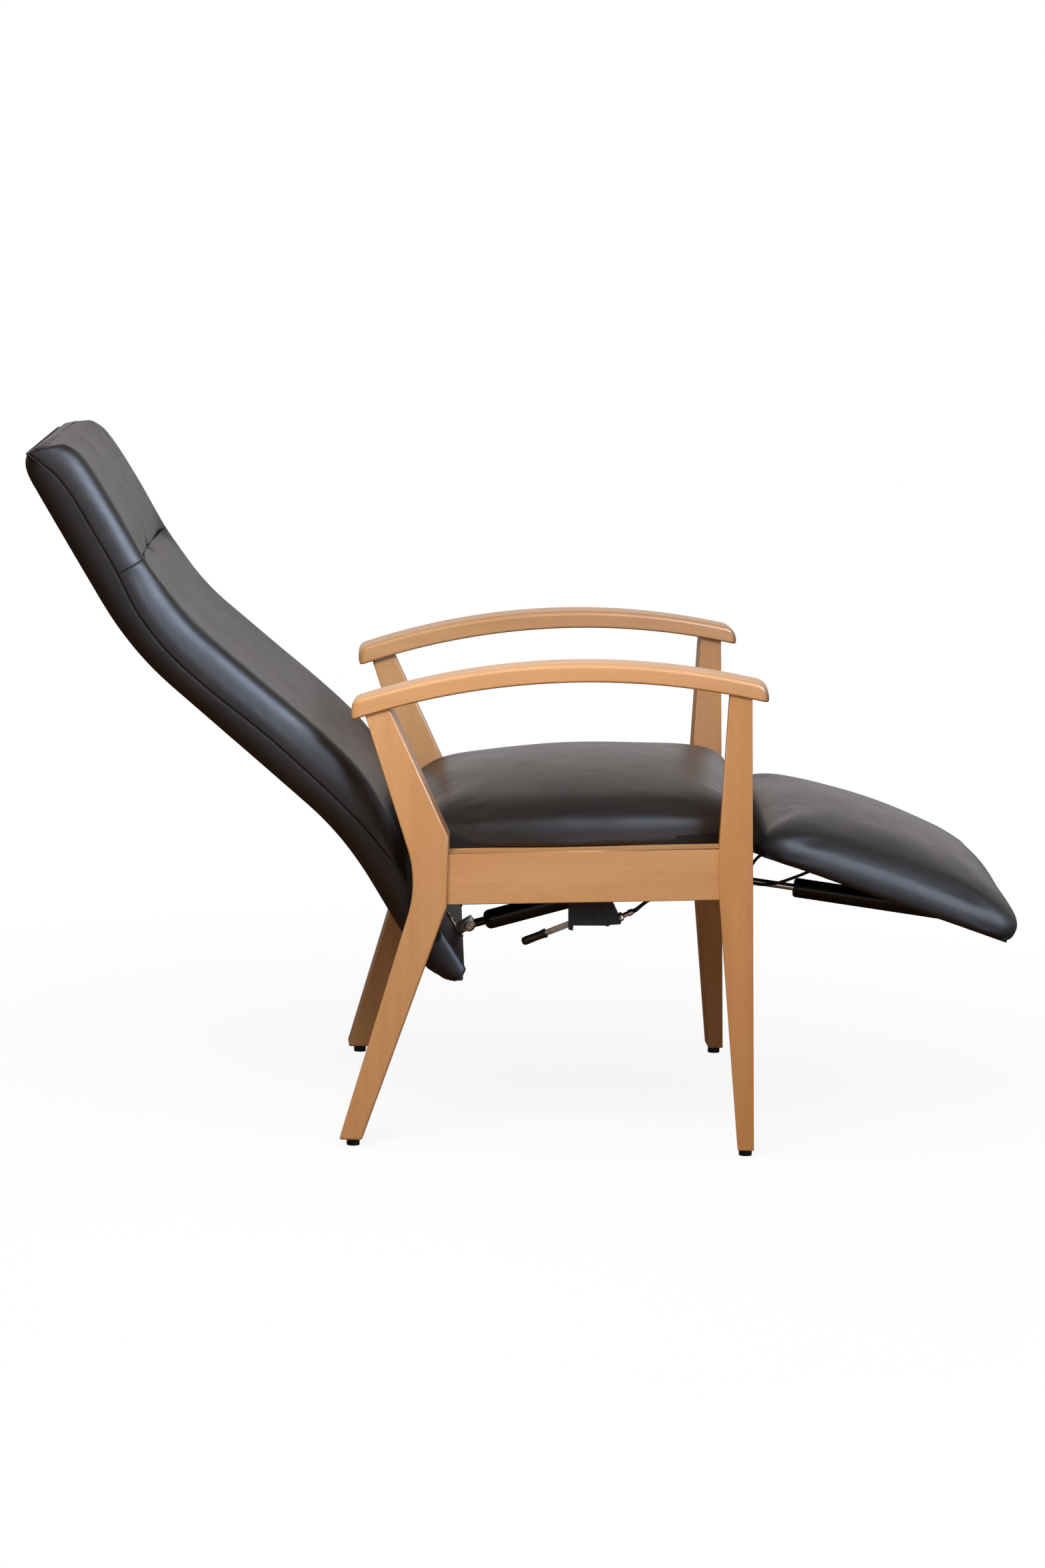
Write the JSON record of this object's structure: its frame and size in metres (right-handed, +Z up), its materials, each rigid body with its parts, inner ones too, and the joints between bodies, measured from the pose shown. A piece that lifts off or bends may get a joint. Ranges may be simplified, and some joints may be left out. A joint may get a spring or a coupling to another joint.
{
  "type": "reclining lounge chair",
  "caption": "Reclining chair with splayed wooden legs and arched armrests, a padded tilting back and a padded folding footrest on lockable gas springs.",
  "frame": {"origin": "on the floor under the middle of the chair's full length and width, in the pose of the picture", "axes": "+X towards the footrest, +Y to the sitter's left, +Z up"},
  "size_m": [1.3659, 0.6878, 0.9428],
  "materials": {
    "frame_wood": "satin lacquered light hardwood",
    "arm_wood": "satin lacquered light hardwood",
    "stained_board": "dark stained plywood",
    "seat_leather": "smooth dark brown leather with a soft sheen",
    "back_leather": "smooth dark brown leather with a soft sheen",
    "black_plastic": "matte black",
    "black_paint": "satin black paint",
    "dark_steel": "dark coated steel",
    "zinc_steel": "zinc plated",
    "chrome_rod": "polished piston rod"
  },
  "bodies": {
    "frame": {"rear_leg_right": "frame_wood", "rear_leg_left": "frame_wood", "front_leg_right": "frame_wood", "front_leg_left": "frame_wood", "side_rail_right": "frame_wood", "side_rail_left": "frame_wood", "armrest_right": "arm_wood", "armrest_left": "arm_wood", "rear_cross_rail": "frame_wood", "front_cross_rail": "frame_wood", "seat_cleat_right": "frame_wood", "seat_cleat_left": "frame_wood", "spring_beam": "frame_wood", "leg_glides": "black_plastic", "seat_board": "stained_board", "seat_cushion": "seat_leather", "back_hinge_brackets": "dark_steel", "back_hinge_bolts": "dark_steel", "footrest_hinge_brackets": "dark_steel", "footrest_hinge_bolts": "dark_steel", "rear_spring_hanger": "dark_steel", "front_spring_hanger": "dark_steel", "front_head_pin": "zinc_steel", "lever_housing": "black_plastic", "lever_pin": "zinc_steel", "cable_adjusters": "zinc_steel", "rear_cable": "black_plastic", "front_cable": "black_plastic"},
    "back": {"back_board": "stained_board", "back_cover": "back_leather", "back_cushion": "seat_leather", "head_cushion": "seat_leather", "back_hinge_plates": "dark_steel", "rear_spring_bracket": "zinc_steel", "rear_eye_bolt": "zinc_steel"},
    "rear_tube": {"rear_spring_tube": "black_paint", "rear_spring_eye": "zinc_steel"},
    "rear_rod": {"rear_spring_rod": "chrome_rod", "rear_spring_piston": "zinc_steel", "rear_release_head": "black_paint", "rear_head_pin": "zinc_steel"},
    "footrest": {"footrest_board": "stained_board", "footrest_cushion": "seat_leather", "footrest_hinge_plates": "dark_steel", "front_spring_bracket": "zinc_steel"},
    "front_rod": {"front_spring_rod": "chrome_rod", "front_spring_piston": "zinc_steel", "front_release_head": "black_paint"},
    "front_tube": {"front_spring_tube": "black_paint", "front_spring_eye": "zinc_steel", "front_eye_pin": "zinc_steel"},
    "lever": {"release_lever": "black_paint", "lever_grip": "black_plastic"}
  },
  "joints": [
    {"name": "back_recline", "type": "hinge", "parent": "frame", "child": "back", "pos_m": [-0.1482, 0, 0.38806], "axis": [0, 1, 0], "range_deg": [0, 28]},
    {"name": "rear_spring_swing", "type": "hinge", "parent": "back", "child": "rear_tube", "pos_m": [-0.07027, 0, 0.25199], "axis": [0, 1, 0], "range_deg": [-28, 0]},
    {"name": "rear_spring_stroke", "type": "slide", "parent": "rear_tube", "child": "rear_rod", "axis": [0.9618, 0, 0.2736], "range_m": [0, 0.076]},
    {"name": "footrest_fold", "type": "hinge", "parent": "frame", "child": "footrest", "pos_m": [0.30327, 0, 0.38725], "axis": [0, 1, 0], "range_deg": [0, 62]},
    {"name": "front_spring_swing", "type": "hinge", "parent": "frame", "child": "front_rod", "pos_m": [0.2838, 0, 0.32864], "axis": [0, 1, 0], "range_deg": [0, 66.5], "deforming": ["front_cable"]},
    {"name": "front_spring_stroke", "type": "slide", "parent": "front_rod", "child": "front_tube", "axis": [0.9908, 0, -0.1354], "range_m": [-0.0655, 0]},
    {"name": "lever_pull", "type": "hinge", "parent": "frame", "child": "lever", "pos_m": [0.09991, -0.28059, 0.3252], "axis": [0.0509, 0.9987, 0], "range_deg": [0, 14], "stiffness_Nm_per_rad": 0.3, "springref_deg": -14.32}
  ],
  "couplings": [
    {"joint": "rear_spring_swing", "follows": "back_recline", "ratio": -0.99938},
    {"joint": "rear_spring_stroke", "follows": "back_recline", "m_per_rad": 0.15525},
    {"joint": "front_spring_swing", "follows": "footrest_fold", "ratio": 1.0673},
    {"joint": "front_spring_stroke", "follows": "footrest_fold", "m_per_rad": -0.054346}
  ]
}
